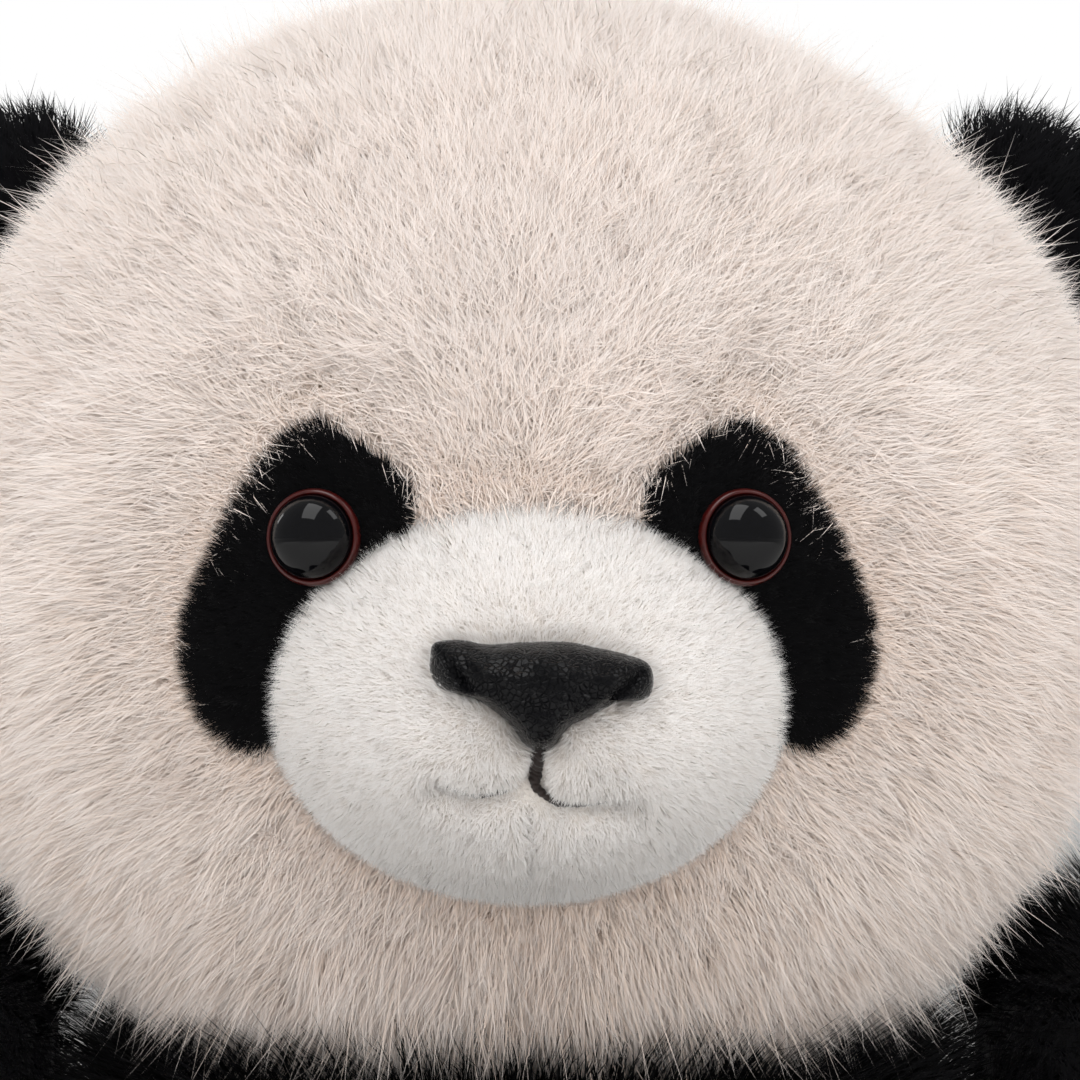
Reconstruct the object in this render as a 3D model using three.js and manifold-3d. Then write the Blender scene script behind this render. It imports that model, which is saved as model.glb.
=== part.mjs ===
// Sitting plush panda: stuffed fabric head, torso, arms and legs sewn together at fabric seams.
// Millimetres, +Z up, the face looks along -Y, origin on the floor under the middle of the seat.
// "left" is the toy's own left, at +X.
import * as THREE from 'three';
import { mergeVertices } from 'three/addons/utils/BufferGeometryUtils.js';
import Module from 'manifold-3d';

const wasm = await Module();
wasm.setup();

// ---- fabric and clearances ----
const GAP = 0.3; // between pieces that touch or are sewn together
const WALL = 3; // backing cloth plus the packed lower half of the pile
const STUFFING_GAP = 0.5; // between a cover and its filling

// ---- head ----
const HEAD = [0, -6, 210]; // centre
const HEAD_RADII = [76, 68, 71];
const HEAD_AROUND = 24;
const HEAD_DOWN = 16;
const NECK_Z = 147; // height of the sewn neck seam
const HEAD_SEAM_Y = HEAD[1] + 4; // seam between the front and the back of the head, where the ears are sewn in
const GUSSET_HALF = 17; // half width of the forehead gusset
const GUSSET_LOW = HEAD[2] + 4; // lower end of the gusset, under the muzzle's top edge

// ---- muzzle, nose and mouth ----
const MUZZLE = [0, HEAD[1] - 56, HEAD[2] - 16];
const MUZZLE_RADII = [31, 30, 24.6];
const MUZZLE_WALL = 2;
const MUZZLE_AROUND = 18;
const MUZZLE_DOWN = 12;
const NOSE = [0, MUZZLE[1] - 24.5, MUZZLE[2] + 0.5];
const NOSE_RADII = [15.5, 10, 9];
const NOSE_HALF_WIDTH = 13.2;
const NOSE_TOP = 6.4; // above the nose's centre
const NOSE_TIP = 6.6; // below the nose's centre
const NOSE_SHOULDERS = [[0.6, 0.9], [1, 0.35]]; // shares of the half width and of the top
const NOSE_LOWER = [[0.75, 0.15], [0.2, 0.9]]; // shares of the half width and of the tip
const STEM_THREAD = 1.0; // radius of the thick stitch below the nose
const MOUTH_THREAD = 0.5; // radius of the mouth stitches
const MOUTH_Z = -10.5; // height of the mouth's middle from the muzzle's centre
const MOUTH_LINE = [[1.2, -0.8], [4.5, -2.3], [8, -2.2], [10.5, -0.9]]; // across, and up from MOUTH_Z

// ---- eyes ----
const EYE_INSIDE = 5.6; // the eyes' seats, inwards from the muzzle's half width
const EYE_X = MUZZLE_RADII[0] - EYE_INSIDE;
const EYE_Z = HEAD[2] + 2.9;
const PATCH_THICK = 2;
const PATCH_OUTLINE = [ // left patch, seen from the front: across and up from the eye's seat
  [0.1, 14.1], [5.6, 10.3], [11.4, 0.7], [16.2, -10.9], [14.9, -20.1],
  [9.8, -25.3], [3.2, -23.3], [-5.4, -10.9], [-11.8, 3.4], [-7.4, 9.7],
];
const OUTLINE_STEPS = 28; // straight pieces round a patch or the nose
const RIM_RADIUS = 6;
const RIM_THICK = 1.6;
const DOME_RADIUS = 5;
const DOME_HEIGHT = 3.8;
const SHANK_RADIUS = 2;
const SHANK_LENGTH = 13; // from the rim's top face inwards
const SHANK_CLEARANCE = 0.3; // radial, in the rim, patch and cover
const WASHER_RADIUS = 6.5;
const WASHER_THICK = 1.5;
const WASHER_SETBACK = 1.8; // behind the cover's inner face, which curves towards the washer's edge

// ---- ears ----
const EAR_ANGLE = 31; // degrees above horizontal, seen from the front
const EAR_HALF_WIDTH = 17.5;
const EAR_RISE = 14; // from the flex line to the rim
const EAR_HALF_THICK = 4.5;
const EAR_ROOT_GAP = 0.6; // between the ear's round root and the head

// ---- torso ----
const TORSO_DEPTH = 0.86; // depth over width
const TORSO_AROUND = 24;
const SHOULDER_X = 62; // flat side faces that the arms are sewn to
const SEAT_RADIUS = 44;
const SEAT_TOP = 7; // height of the seam round the seat panel
const YOKE_Z = 98; // lower edge of the black chest and shoulder band
const NECK_RADIUS = 34;
const TORSO_PROFILE = [
  [0, 0], [SEAT_RADIUS, 0], [55, 5], [62, 16], [66, 34], [68, 56], [68, 80],
  [66.5, 104], [65, 121], [62, 133.5], [55, 141.5], [45, 145.2], [NECK_RADIUS, NECK_Z - GAP], [0, NECK_Z - GAP],
];
const BAG_RADIUS = 38;
const BAG_HEIGHT = 27;

// ---- arms ----
const ARM = [82, 0, 141]; // centre of the shoulder's round end
const ARM_SLANT = 30; // degrees forward of straight down
const ARM_AROUND = 16;
const ARM_PROFILE = [
  [0, -24], [13, -21], [21, -12], [24.5, 2], [24, 22], [22, 42], [22.5, 60], [21.5, 74], [13, 86], [0, 90],
];

// ---- legs ----
const HIP = [33, -54, 27];
const HIP_RADIUS = 25; // ball-shaped rear end that turns in the torso's recess
const HIP_CLEARANCE = 1.5;
const HIP_AROUND = 14;
const HIP_DOWN = 8;
const LEG_AROUND = 16;
const FOOT_RADIUS = HIP[2];
const FOOT_LENGTH = 72; // hip to the sole's seam
const SOLE_RADIUS = 23.5;
const SOLE_EDGE = 0.8; // how far the sole's rim slopes in
const LEG_PROFILE = [
  [0, -HIP_RADIUS], [HIP_RADIUS * 0.5, -HIP_RADIUS * 0.866], [HIP_RADIUS * 0.866, -HIP_RADIUS * 0.5],
  [HIP_RADIUS, 0], [23.8, 18], [23.4, 34], [25.4, 47], [FOOT_RADIUS, 58], [26.2, 66],
  [SOLE_RADIUS, FOOT_LENGTH], [0, FOOT_LENGTH],
];

// ---- tail and label ----
const TAIL = [0, 59, 34];
const TAIL_RADII = [15, 12, 14];
const LABEL = [17, 0.8, 22]; // folded woven label in the right side seam
const LABEL_Z = 24; // height of its middle

// ---- looks ----
const WHITE_FUR = new THREE.MeshStandardMaterial({ color: 0xe9dfd8, roughness: 0.95, metalness: 0 });
const BLACK_FUR = new THREE.MeshStandardMaterial({ color: 0x0c0c0f, roughness: 0.95, metalness: 0 });
const SHORT_WHITE = new THREE.MeshStandardMaterial({ color: 0xf1eeeb, roughness: 0.95, metalness: 0 });
const LEATHERETTE = new THREE.MeshStandardMaterial({ color: 0x141416, roughness: 0.45, metalness: 0 });
const BLACK_PLASTIC = new THREE.MeshStandardMaterial({ color: 0x08080a, roughness: 0.08, metalness: 0 });
const MAROON_PLASTIC = new THREE.MeshStandardMaterial({ color: 0x5a1a18, roughness: 0.3, metalness: 0 });
const WASHER_PLASTIC = new THREE.MeshStandardMaterial({ color: 0xd9d9d6, roughness: 0.5, metalness: 0 });
const FIBREFILL = new THREE.MeshStandardMaterial({ color: 0xf5f5f2, roughness: 1, metalness: 0 });
const BAG_CLOTH = new THREE.MeshStandardMaterial({ color: 0xd8d2c4, roughness: 0.9, metalness: 0 });
const THREAD = new THREE.MeshStandardMaterial({ color: 0x1a1717, roughness: 0.8, metalness: 0 });
const LABEL_RIBBON = new THREE.MeshStandardMaterial({ color: 0xf4f2ee, roughness: 0.6, metalness: 0 });

const SIDES = [['left', 1], ['right', -1]];
const FAR = 300; // larger than the whole toy
const UP = new THREE.Vector3(0, 0, 1);

const group = new THREE.Group();
group.name = 'plush_panda';

// ---- building tools ----
function solid(geometry) {
  geometry.deleteAttribute('normal');
  geometry.deleteAttribute('uv');
  const merged = mergeVertices(geometry, 1e-4);
  return new wasm.Manifold(new wasm.Mesh({
    numProp: 3,
    vertProperties: Float32Array.from(merged.attributes.position.array),
    triVerts: Uint32Array.from(merged.index.array),
  }));
}

function addNode(name, body, material) {
  const mesh = body.getMesh();
  const geometry = new THREE.BufferGeometry();
  geometry.setAttribute('position', new THREE.BufferAttribute(Float32Array.from(mesh.vertProperties), 3));
  geometry.setIndex(new THREE.BufferAttribute(Uint32Array.from(mesh.triVerts), 1));
  geometry.computeVertexNormals();
  const node = new THREE.Mesh(geometry, material);
  node.name = name;
  group.add(node);
}

function block(low, high) {
  const size = high.map((value, i) => value - low[i]);
  const middle = high.map((value, i) => (value + low[i]) / 2);
  return solid(new THREE.BoxGeometry(...size).translate(...middle));
}

function ellipsoid(centre, radii, around, down) {
  const geometry = new THREE.SphereGeometry(1, around, down).rotateX(Math.PI / 2);
  return solid(geometry.scale(...radii).translate(...centre));
}

function turned(profile, around) {
  const points = profile.map(([radius, height]) => new THREE.Vector2(radius, height));
  return new THREE.LatheGeometry(points, around).rotateX(Math.PI / 2);
}

// Moves a shape built up from the origin along +Z to a point, and leans it along a direction.
function placed(geometry, at, direction) {
  const turn = new THREE.Quaternion().setFromUnitVectors(UP, direction);
  return solid(geometry.applyQuaternion(turn).translate(...at));
}

// The same profile, a given depth further in. It runs upwards, from the axis back to the axis.
function insetProfile(profile, depth) {
  const inward = (from, to) => new THREE.Vector2(from[1] - to[1], to[0] - from[0]).normalize();
  const last = profile.length - 1;
  return profile.map((point, i) => {
    if (i === 0) {
      return [0, point[1] + depth];
    }
    if (i === last) {
      return [0, point[1] - depth];
    }
    const before = inward(profile[i - 1], point);
    const after = inward(point, profile[i + 1]);
    const shift = before.clone().add(after).multiplyScalar(depth / (1 + before.dot(after)));
    return [point[0] + shift.x, point[1] + shift.y];
  });
}

// A closed outline in X and Z, drawn smoothly through points, as a prism forward from the head's middle.
function frontPrism(points) {
  const corners = [...points, points[0]].map(([x, z]) => new THREE.Vector2(x, z));
  const shape = new THREE.Shape(new THREE.SplineCurve(corners).getPoints(OUTLINE_STEPS));
  const geometry = new THREE.ExtrudeGeometry(shape, { depth: FAR, bevelEnabled: false, steps: 1 });
  return solid(geometry.rotateX(Math.PI / 2).translate(0, HEAD[1], 0));
}

const grown = (radii, by) => radii.map((radius) => radius + by);

// ---- head ----
function headForm(offset) {
  const aboveNeck = block([-FAR, -FAR, NECK_Z], [FAR, FAR, FAR + NECK_Z]);
  return ellipsoid(HEAD, grown(HEAD_RADII, offset), HEAD_AROUND, HEAD_DOWN).intersect(aboveNeck);
}

// Point on the head's surface straight behind a front-view position, and the outward direction there.
function headPoint(x, z) {
  const across = (x / HEAD_RADII[0]) ** 2 + ((z - HEAD[2]) / HEAD_RADII[2]) ** 2;
  const y = -HEAD_RADII[1] * Math.sqrt(1 - across);
  const direction = new THREE.Vector3(
    x / HEAD_RADII[0] ** 2, y / HEAD_RADII[1] ** 2, (z - HEAD[2]) / HEAD_RADII[2] ** 2,
  );
  return { at: new THREE.Vector3(x, HEAD[1] + y, z), out: direction.normalize() };
}

const eyes = SIDES.map(([side, sign]) => {
  const seat = headPoint(sign * EYE_X, EYE_Z);
  const base = seat.at.clone().addScaledVector(seat.out, PATCH_THICK + 2 * GAP);
  return { side, base, out: seat.out };
});

// A round rod along an eye's axis, from a depth below the rim's base to a height above it.
function eyeRod(eye, radius, from, to) {
  return placed(turned([[0, from], [radius, from], [radius, to], [0, to]], 10), eye.base.toArray(), eye.out);
}

const shankHole = (eye) => eyeRod(eye, SHANK_RADIUS + SHANK_CLEARANCE, -SHANK_LENGTH, RIM_THICK + GAP);

function headCover() {
  let shell = headForm(0).subtract(headForm(-WALL));
  for (const eye of eyes) {
    shell = shell.subtract(shankHole(eye));
  }
  const front = block([-FAR, -FAR, -FAR], [FAR, HEAD_SEAM_Y - GAP / 2, FAR + NECK_Z]);
  const back = block([-FAR, HEAD_SEAM_Y + GAP / 2, -FAR], [FAR, FAR, FAR + NECK_Z]);
  const gusset = block([-GUSSET_HALF, -FAR, GUSSET_LOW], [GUSSET_HALF, FAR, FAR + NECK_Z]);
  const besideGusset = block(
    [-GUSSET_HALF - GAP, -FAR, GUSSET_LOW - GAP], [GUSSET_HALF + GAP, FAR, FAR + NECK_Z],
  );
  addNode('head_gusset', shell.intersect(front).intersect(gusset), WHITE_FUR);
  for (const [side, sign] of SIDES) {
    const half = sign > 0
      ? block([GAP / 2, -FAR, -FAR], [FAR, FAR, FAR + NECK_Z])
      : block([-FAR, -FAR, -FAR], [-GAP / 2, FAR, FAR + NECK_Z]);
    addNode(`head_side_${side}`, shell.intersect(front).subtract(besideGusset).intersect(half), WHITE_FUR);
    addNode(`head_back_${side}`, shell.intersect(back).intersect(half), WHITE_FUR);
  }
}

function headStuffing() {
  let filling = headForm(-WALL - STUFFING_GAP);
  for (const eye of eyes) {
    filling = filling.subtract(eyeRod(eye, WASHER_RADIUS + GAP, -SHANK_LENGTH, RIM_THICK));
  }
  addNode('head_stuffing', filling, FIBREFILL);
}

// ---- muzzle, nose and mouth ----
function muzzleForm(offset) {
  return ellipsoid(MUZZLE, grown(MUZZLE_RADII, offset), MUZZLE_AROUND, MUZZLE_DOWN);
}

function muzzle() {
  const behind = headForm(GAP);
  const inner = muzzleForm(-MUZZLE_WALL);
  addNode('muzzle_cover', muzzleForm(0).subtract(inner).subtract(behind), SHORT_WHITE);
  addNode('muzzle_stuffing', muzzleForm(-MUZZLE_WALL - STUFFING_GAP).subtract(behind), FIBREFILL);
}

function nose() {
  const half = [
    [0, NOSE_TOP], ...NOSE_SHOULDERS.map(([across, up]) => [across * NOSE_HALF_WIDTH, up * NOSE_TOP]),
    ...NOSE_LOWER.map(([across, down]) => [across * NOSE_HALF_WIDTH, -down * NOSE_TIP]), [0, -NOSE_TIP],
  ];
  const otherHalf = half.slice(1, -1).reverse().map(([x, z]) => [-x, z]);
  const outline = frontPrism([...half, ...otherHalf].map(([x, z]) => [x, NOSE[2] + z]));
  const pad = ellipsoid(NOSE, NOSE_RADII, 16, 12).subtract(muzzleForm(GAP));
  addNode('nose', pad.intersect(outline), LEATHERETTE);
}

// A stitch lying on the muzzle, through front-view points measured from the muzzle's centre.
function muzzleStitch(points, radius) {
  const lift = grown(MUZZLE_RADII, radius + 2 * GAP);
  const path = new THREE.CatmullRomCurve3(points.map(([x, z]) => {
    const y = -lift[1] * Math.sqrt(1 - (x / lift[0]) ** 2 - (z / lift[2]) ** 2);
    return new THREE.Vector3(x, MUZZLE[1] + y, MUZZLE[2] + z);
  }));
  const centre = new THREE.Vector2();
  const corners = [0, 60, 120, 180, 240, 300].map((degrees) => (
    new THREE.Vector2(radius, 0).rotateAround(centre, THREE.MathUtils.degToRad(degrees))));
  const section = new THREE.Shape(corners);
  return solid(new THREE.ExtrudeGeometry(section, { steps: 5, extrudePath: path }));
}

function mouth() {
  const top = NOSE[2] - MUZZLE[2] - NOSE_TIP - STEM_THREAD - GAP;
  addNode('mouth_stem_thread', muzzleStitch([[0, top], [0, MOUTH_Z + STEM_THREAD]], STEM_THREAD), THREAD);
  for (const [side, sign] of SIDES) {
    const stitch = muzzleStitch(MOUTH_LINE.map(([x, z]) => [sign * x, MOUTH_Z + z]), MOUTH_THREAD);
    addNode(`mouth_thread_${side}`, stitch, THREAD);
  }
}

// ---- eyes and their patches ----
function eyePatch(sign) {
  const prism = frontPrism(PATCH_OUTLINE.map(([x, z]) => [sign * (EYE_X + x), EYE_Z + z]));
  return headForm(GAP + PATCH_THICK).subtract(headForm(GAP)).intersect(prism).subtract(muzzleForm(GAP));
}

function eyeSet(eye, sign) {
  const rim = turned([
    [SHANK_RADIUS + SHANK_CLEARANCE, 0], [RIM_RADIUS, 0], [RIM_RADIUS, RIM_THICK * 0.6],
    [RIM_RADIUS - 0.5, RIM_THICK], [SHANK_RADIUS + SHANK_CLEARANCE, RIM_THICK],
    [SHANK_RADIUS + SHANK_CLEARANCE, 0],
  ], 16);
  const domeBase = RIM_THICK + GAP;
  const shankEnd = domeBase - SHANK_LENGTH;
  const dome = [[0, shankEnd], [SHANK_RADIUS, shankEnd], [SHANK_RADIUS, domeBase]];
  const steps = 4;
  for (let i = 0; i <= steps; i += 1) {
    const angle = (i / steps) * (Math.PI / 2);
    const radius = i === steps ? 0 : DOME_RADIUS * Math.cos(angle);
    dome.push([radius, domeBase + DOME_HEIGHT * Math.sin(angle)]);
  }
  const washerTop = -(PATCH_THICK + 2 * GAP + WALL + WASHER_SETBACK);
  const washer = [
    [SHANK_RADIUS + SHANK_CLEARANCE, washerTop - WASHER_THICK], [WASHER_RADIUS, washerTop - WASHER_THICK],
    [WASHER_RADIUS, washerTop], [SHANK_RADIUS + SHANK_CLEARANCE, washerTop],
    [SHANK_RADIUS + SHANK_CLEARANCE, washerTop - WASHER_THICK],
  ];
  const at = eye.base.toArray();
  addNode(`eye_patch_${eye.side}`, eyePatch(sign).subtract(shankHole(eye)), BLACK_FUR);
  addNode(`eye_rim_${eye.side}`, placed(rim, at, eye.out), MAROON_PLASTIC);
  addNode(`eye_dome_${eye.side}`, placed(turned(dome, 16), at, eye.out), BLACK_PLASTIC);
  addNode(`eye_washer_${eye.side}`, placed(turned(washer, 10), at, eye.out), WASHER_PLASTIC);
}

// ---- ears ----
// Each ear bends about a straight line at its root, so the root's section is round about that line.
function ear(side, sign) {
  const angle = THREE.MathUtils.degToRad(EAR_ANGLE);
  const reach = 1 / Math.hypot(Math.cos(angle) / HEAD_RADII[0], Math.sin(angle) / HEAD_RADII[2]);
  const root = reach + EAR_ROOT_GAP + EAR_HALF_THICK;
  const lens = new THREE.SphereGeometry(1, 16, 10).rotateX(Math.PI / 2);
  const points = lens.attributes.position;
  for (let i = 0; i < points.count; i += 1) {
    points.setZ(i, points.getZ(i) * (points.getZ(i) > 0 ? EAR_RISE : EAR_HALF_THICK));
  }
  lens.scale(EAR_HALF_WIDTH, EAR_HALF_THICK, 1).rotateY(sign * (Math.PI / 2 - angle));
  lens.translate(sign * root * Math.cos(angle), HEAD_SEAM_Y, HEAD[2] + root * Math.sin(angle));
  const whole = solid(lens);
  const front = block([-FAR, -FAR, 0], [FAR, HEAD_SEAM_Y - GAP / 2, FAR]);
  const back = block([-FAR, HEAD_SEAM_Y + GAP / 2, 0], [FAR, FAR, FAR]);
  addNode(`ear_front_${side}`, whole.intersect(front), BLACK_FUR);
  addNode(`ear_back_${side}`, whole.intersect(back), BLACK_FUR);
}

// ---- torso ----
function torsoForm(inset) {
  const profile = insetProfile(TORSO_PROFILE, inset);
  let form = solid(turned(profile, TORSO_AROUND).scale(1, TORSO_DEPTH, 1));
  form = form.intersect(block([-SHOULDER_X + inset, -FAR, 0], [SHOULDER_X - inset, FAR, FAR]));
  for (const [, sign] of SIDES) {
    const recess = HIP_RADIUS + HIP_CLEARANCE + inset;
    const hip = [sign * HIP[0], HIP[1], HIP[2]];
    form = form.subtract(ellipsoid(hip, [recess, recess, recess], HIP_AROUND, HIP_DOWN));
  }
  return form;
}

function torsoCover() {
  const shell = torsoForm(0).subtract(torsoForm(WALL));
  const above = (z) => block([-FAR, -FAR, z + GAP / 2], [FAR, FAR, FAR]);
  const below = (z) => block([-FAR, -FAR, -1], [FAR, FAR, z - GAP / 2]);
  const middle = shell.intersect(above(SEAT_TOP)).intersect(below(YOKE_Z));
  addNode('torso_yoke', shell.intersect(above(YOKE_Z)), BLACK_FUR);
  addNode('torso_belly', middle.intersect(block([-FAR, -FAR, 0], [FAR, -GAP / 2, FAR])), WHITE_FUR);
  addNode('torso_back_left', middle.intersect(block([GAP / 2, GAP / 2, 0], [FAR, FAR, FAR])), WHITE_FUR);
  addNode('torso_back_right', middle.intersect(block([-FAR, GAP / 2, 0], [-GAP / 2, FAR, FAR])), WHITE_FUR);
  addNode('seat_panel', shell.intersect(below(SEAT_TOP)), WHITE_FUR);
}

function bagProfile(offset, floor) {
  const base = WALL + GAP;
  return [
    [0, floor], [BAG_RADIUS * 0.85 + offset, floor], [BAG_RADIUS + offset, base + BAG_HEIGHT * 0.35],
    [BAG_RADIUS * 0.85 + offset, base + BAG_HEIGHT * 0.75 + offset],
    [BAG_RADIUS * 0.5, base + BAG_HEIGHT + offset], [0, base + BAG_HEIGHT + offset],
  ];
}

function torsoFilling() {
  const bag = (offset, floor) => solid(turned(bagProfile(offset, floor), 20).scale(1, TORSO_DEPTH, 1));
  const pocket = bag(STUFFING_GAP, 0);
  addNode('torso_stuffing', torsoForm(WALL + STUFFING_GAP).subtract(pocket), FIBREFILL);
  addNode('pellet_bag', bag(0, WALL + GAP).intersect(torsoForm(WALL + GAP)), BAG_CLOTH);
}

// ---- arms ----
function armForm(sign, inset) {
  const slant = THREE.MathUtils.degToRad(ARM_SLANT);
  const direction = new THREE.Vector3(0, -Math.sin(slant), -Math.cos(slant));
  const at = [sign * ARM[0], ARM[1], ARM[2]];
  const low = SHOULDER_X + GAP;
  const outside = sign > 0
    ? block([low, -FAR, -FAR], [FAR, FAR, FAR])
    : block([-FAR, -FAR, -FAR], [-low, FAR, FAR]);
  return placed(turned(insetProfile(ARM_PROFILE, inset), ARM_AROUND), at, direction).intersect(outside);
}

function arm(side, sign) {
  addNode(`arm_cover_${side}`, armForm(sign, 0).subtract(armForm(sign, WALL)), BLACK_FUR);
  addNode(`arm_stuffing_${side}`, armForm(sign, WALL + STUFFING_GAP), FIBREFILL);
}

// ---- legs ----
function legForm(sign, inset) {
  const forward = new THREE.Vector3(0, -1, 0);
  const profile = insetProfile(LEG_PROFILE, inset);
  const open = profile.slice(0, -2).concat([[SOLE_RADIUS - inset, FOOT_LENGTH], [0, FOOT_LENGTH]]);
  return placed(turned(open, LEG_AROUND), [sign * HIP[0], HIP[1], HIP[2]], forward);
}

function leg(side, sign) {
  addNode(`leg_cover_${side}`, legForm(sign, 0).subtract(legForm(sign, WALL)), BLACK_FUR);
  addNode(`leg_stuffing_${side}`, legForm(sign, WALL + STUFFING_GAP), FIBREFILL);
  const low = FOOT_LENGTH + GAP;
  const sole = turned([
    [0, low], [SOLE_RADIUS, low], [SOLE_RADIUS - SOLE_EDGE, low + WALL * 0.7],
    [SOLE_RADIUS * 0.6, low + WALL], [0, low + WALL],
  ], LEG_AROUND);
  const at = [sign * HIP[0], HIP[1], HIP[2]];
  addNode(`foot_sole_${side}`, placed(sole, at, new THREE.Vector3(0, -1, 0)), BLACK_FUR);
}

// ---- tail and label ----
function tailAndLabel() {
  const torso = torsoForm(-GAP);
  addNode('tail', ellipsoid(TAIL, TAIL_RADII, 12, 8).subtract(torso), WHITE_FUR);
  const [length, thick, height] = LABEL;
  const seam = -SHOULDER_X - GAP;
  const low = [seam - length, -thick / 2, LABEL_Z - height / 2];
  const high = [seam, thick / 2, LABEL_Z + height / 2];
  addNode('sewn_label', block(low, high), LABEL_RIBBON);
}

headCover();
headStuffing();
muzzle();
nose();
mouth();
eyes.forEach((eye, i) => eyeSet(eye, SIDES[i][1]));
SIDES.forEach(([side, sign]) => ear(side, sign));
torsoCover();
torsoFilling();
SIDES.forEach(([side, sign]) => arm(side, sign));
SIDES.forEach(([side, sign]) => leg(side, sign));
tailAndLabel();

export default group;
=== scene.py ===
import math

import bmesh
import bpy
import numpy as np
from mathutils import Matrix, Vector
from mathutils.bvhtree import BVHTree


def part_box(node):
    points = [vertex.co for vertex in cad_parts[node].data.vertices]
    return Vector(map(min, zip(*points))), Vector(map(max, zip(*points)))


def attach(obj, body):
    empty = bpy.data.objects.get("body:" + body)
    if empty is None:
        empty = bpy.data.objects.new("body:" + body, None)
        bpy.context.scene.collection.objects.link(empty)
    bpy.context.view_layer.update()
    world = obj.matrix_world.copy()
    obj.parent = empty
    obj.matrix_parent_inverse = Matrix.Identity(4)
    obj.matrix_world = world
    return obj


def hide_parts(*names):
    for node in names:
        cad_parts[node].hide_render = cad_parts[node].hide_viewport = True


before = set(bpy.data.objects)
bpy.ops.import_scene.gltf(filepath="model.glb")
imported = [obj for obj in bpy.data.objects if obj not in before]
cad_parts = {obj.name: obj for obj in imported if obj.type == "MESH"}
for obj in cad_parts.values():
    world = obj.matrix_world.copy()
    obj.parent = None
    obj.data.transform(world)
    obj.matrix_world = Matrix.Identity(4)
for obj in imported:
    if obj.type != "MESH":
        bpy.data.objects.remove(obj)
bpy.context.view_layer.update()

# ---- Head cloth ----
# The head is five panels of long-pile cloth sewn into a wide ball: a forehead gusset, two sides that
# meet down the chin, and two back panels. The backing cloth is tan, and shows only at seams.

MM = 0.001
HEAD_HALF = np.array([76, 68, 71]) * MM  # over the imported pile
BACKING_IN = 0.5 * MM  # the backing cloth lies this far inside
head_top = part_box("head_gusset")[1].z
HEAD = np.array([0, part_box("head_back_left")[0].y - 4.15 * MM, head_top - HEAD_HALF[2]])
NECK_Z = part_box("head_side_left")[0].z
SEAM_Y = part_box("head_back_left")[0].y
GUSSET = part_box("head_gusset")


class Shade:
    """One output of a material's nodes. Arithmetic on it adds Math nodes, and node() adds any other."""

    def __init__(self, tree, socket):
        self.tree, self.socket = tree, socket

    def node(self, kind, settings, values, out=0):
        made = self.tree.nodes.new(kind)
        for name, value in settings.items():
            if name == "stops":
                elements = made.color_ramp.elements
                while len(elements) < len(value):
                    elements.new(0.5)
                for element, (at, colour) in zip(elements, value):
                    element.position, element.color = at, (*colour, 1)
            else:
                setattr(made, name, value)
        for name, value in values.items():
            if isinstance(value, Shade):
                self.tree.links.new(value.socket, made.inputs[name])
            else:
                made.inputs[name].default_value = value
        return Shade(self.tree, made.outputs[out])

    def math(self, operation, a, b):
        return self.node("ShaderNodeMath", {"operation": operation}, {0: a, 1: b})

    def __add__(self, other):
        return self.math("ADD", self, other)

    __radd__ = __add__

    def __mul__(self, other):
        return self.math("MULTIPLY", self, other)

    __rmul__ = __mul__

    def ramp(self, *stops):
        return self.node("ShaderNodeValToRGB", {"stops": stops}, {0: self})

    def blend(self, a, b):
        """Colour a where this is 0 and colour b where it is 1."""
        a, b = (c if isinstance(c, Shade) else (*c, 1) for c in (a, b))
        return self.node("ShaderNodeMix", {"data_type": "RGBA"}, {0: self, 6: a, 7: b}, 2)

    def noise(self, scale, detail=3, rough=0.6):
        values = {"Vector": self, "Scale": scale, "Detail": detail, "Roughness": rough}
        return self.node("ShaderNodeTexNoise", {}, values)


def finish_of(name, **constants):
    """A new material, its shader with these constant sockets, and the object's coordinates in metres."""
    material = bpy.data.materials.new(name)
    material.use_nodes = True
    tree = material.node_tree
    shader = tree.nodes["Principled BSDF"]
    for socket, value in constants.items():
        shader.inputs[socket.replace("_", " ")].default_value = value
    return material, shader, Shade(tree, tree.nodes.new("ShaderNodeTexCoord").outputs["Object"])


def drive(shader, **shades):
    """Links shades to a shader's sockets; Bump is a height in millimetres that becomes its Normal."""
    for socket, shade in shades.items():
        if socket == "Bump":
            shade = shade.node("ShaderNodeBump", {}, {"Height": shade, "Distance": MM, "Strength": 1.0})
            socket = "Normal"
        shade.tree.links.new(shade.socket, shader.inputs[socket.replace("_", " ")])


def dye(red, green, blue):
    """A colour swatch, 0 to 255 as seen, as the linear values that shaders use."""
    seen = (c / 255 for c in (red, green, blue))
    return tuple(c / 12.92 if c < 0.0405 else ((c + 0.055) / 1.055) ** 2.4 for c in seen)


def piece(name, points, faces, material, body):
    """A smooth mesh object with these corners and faces that moves with a body."""
    mesh = bpy.data.meshes.new(name)
    points, faces = np.asarray(points, np.float32), np.asarray(faces, np.int32)
    mesh.vertices.add(len(points))
    mesh.vertices.foreach_set("co", points.ravel())
    mesh.loops.add(faces.size)
    mesh.loops.foreach_set("vertex_index", faces.ravel())
    mesh.polygons.add(len(faces))
    mesh.polygons.foreach_set("loop_start", np.arange(len(faces), dtype=np.int32) * faces.shape[1])
    mesh.polygons.foreach_set("use_smooth", np.ones(len(faces), bool))
    mesh.update(calc_edges=True)
    mesh.materials.append(material)
    made = bpy.data.objects.new(name, mesh)
    bpy.context.scene.collection.objects.link(made)
    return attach(made, body)


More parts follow.
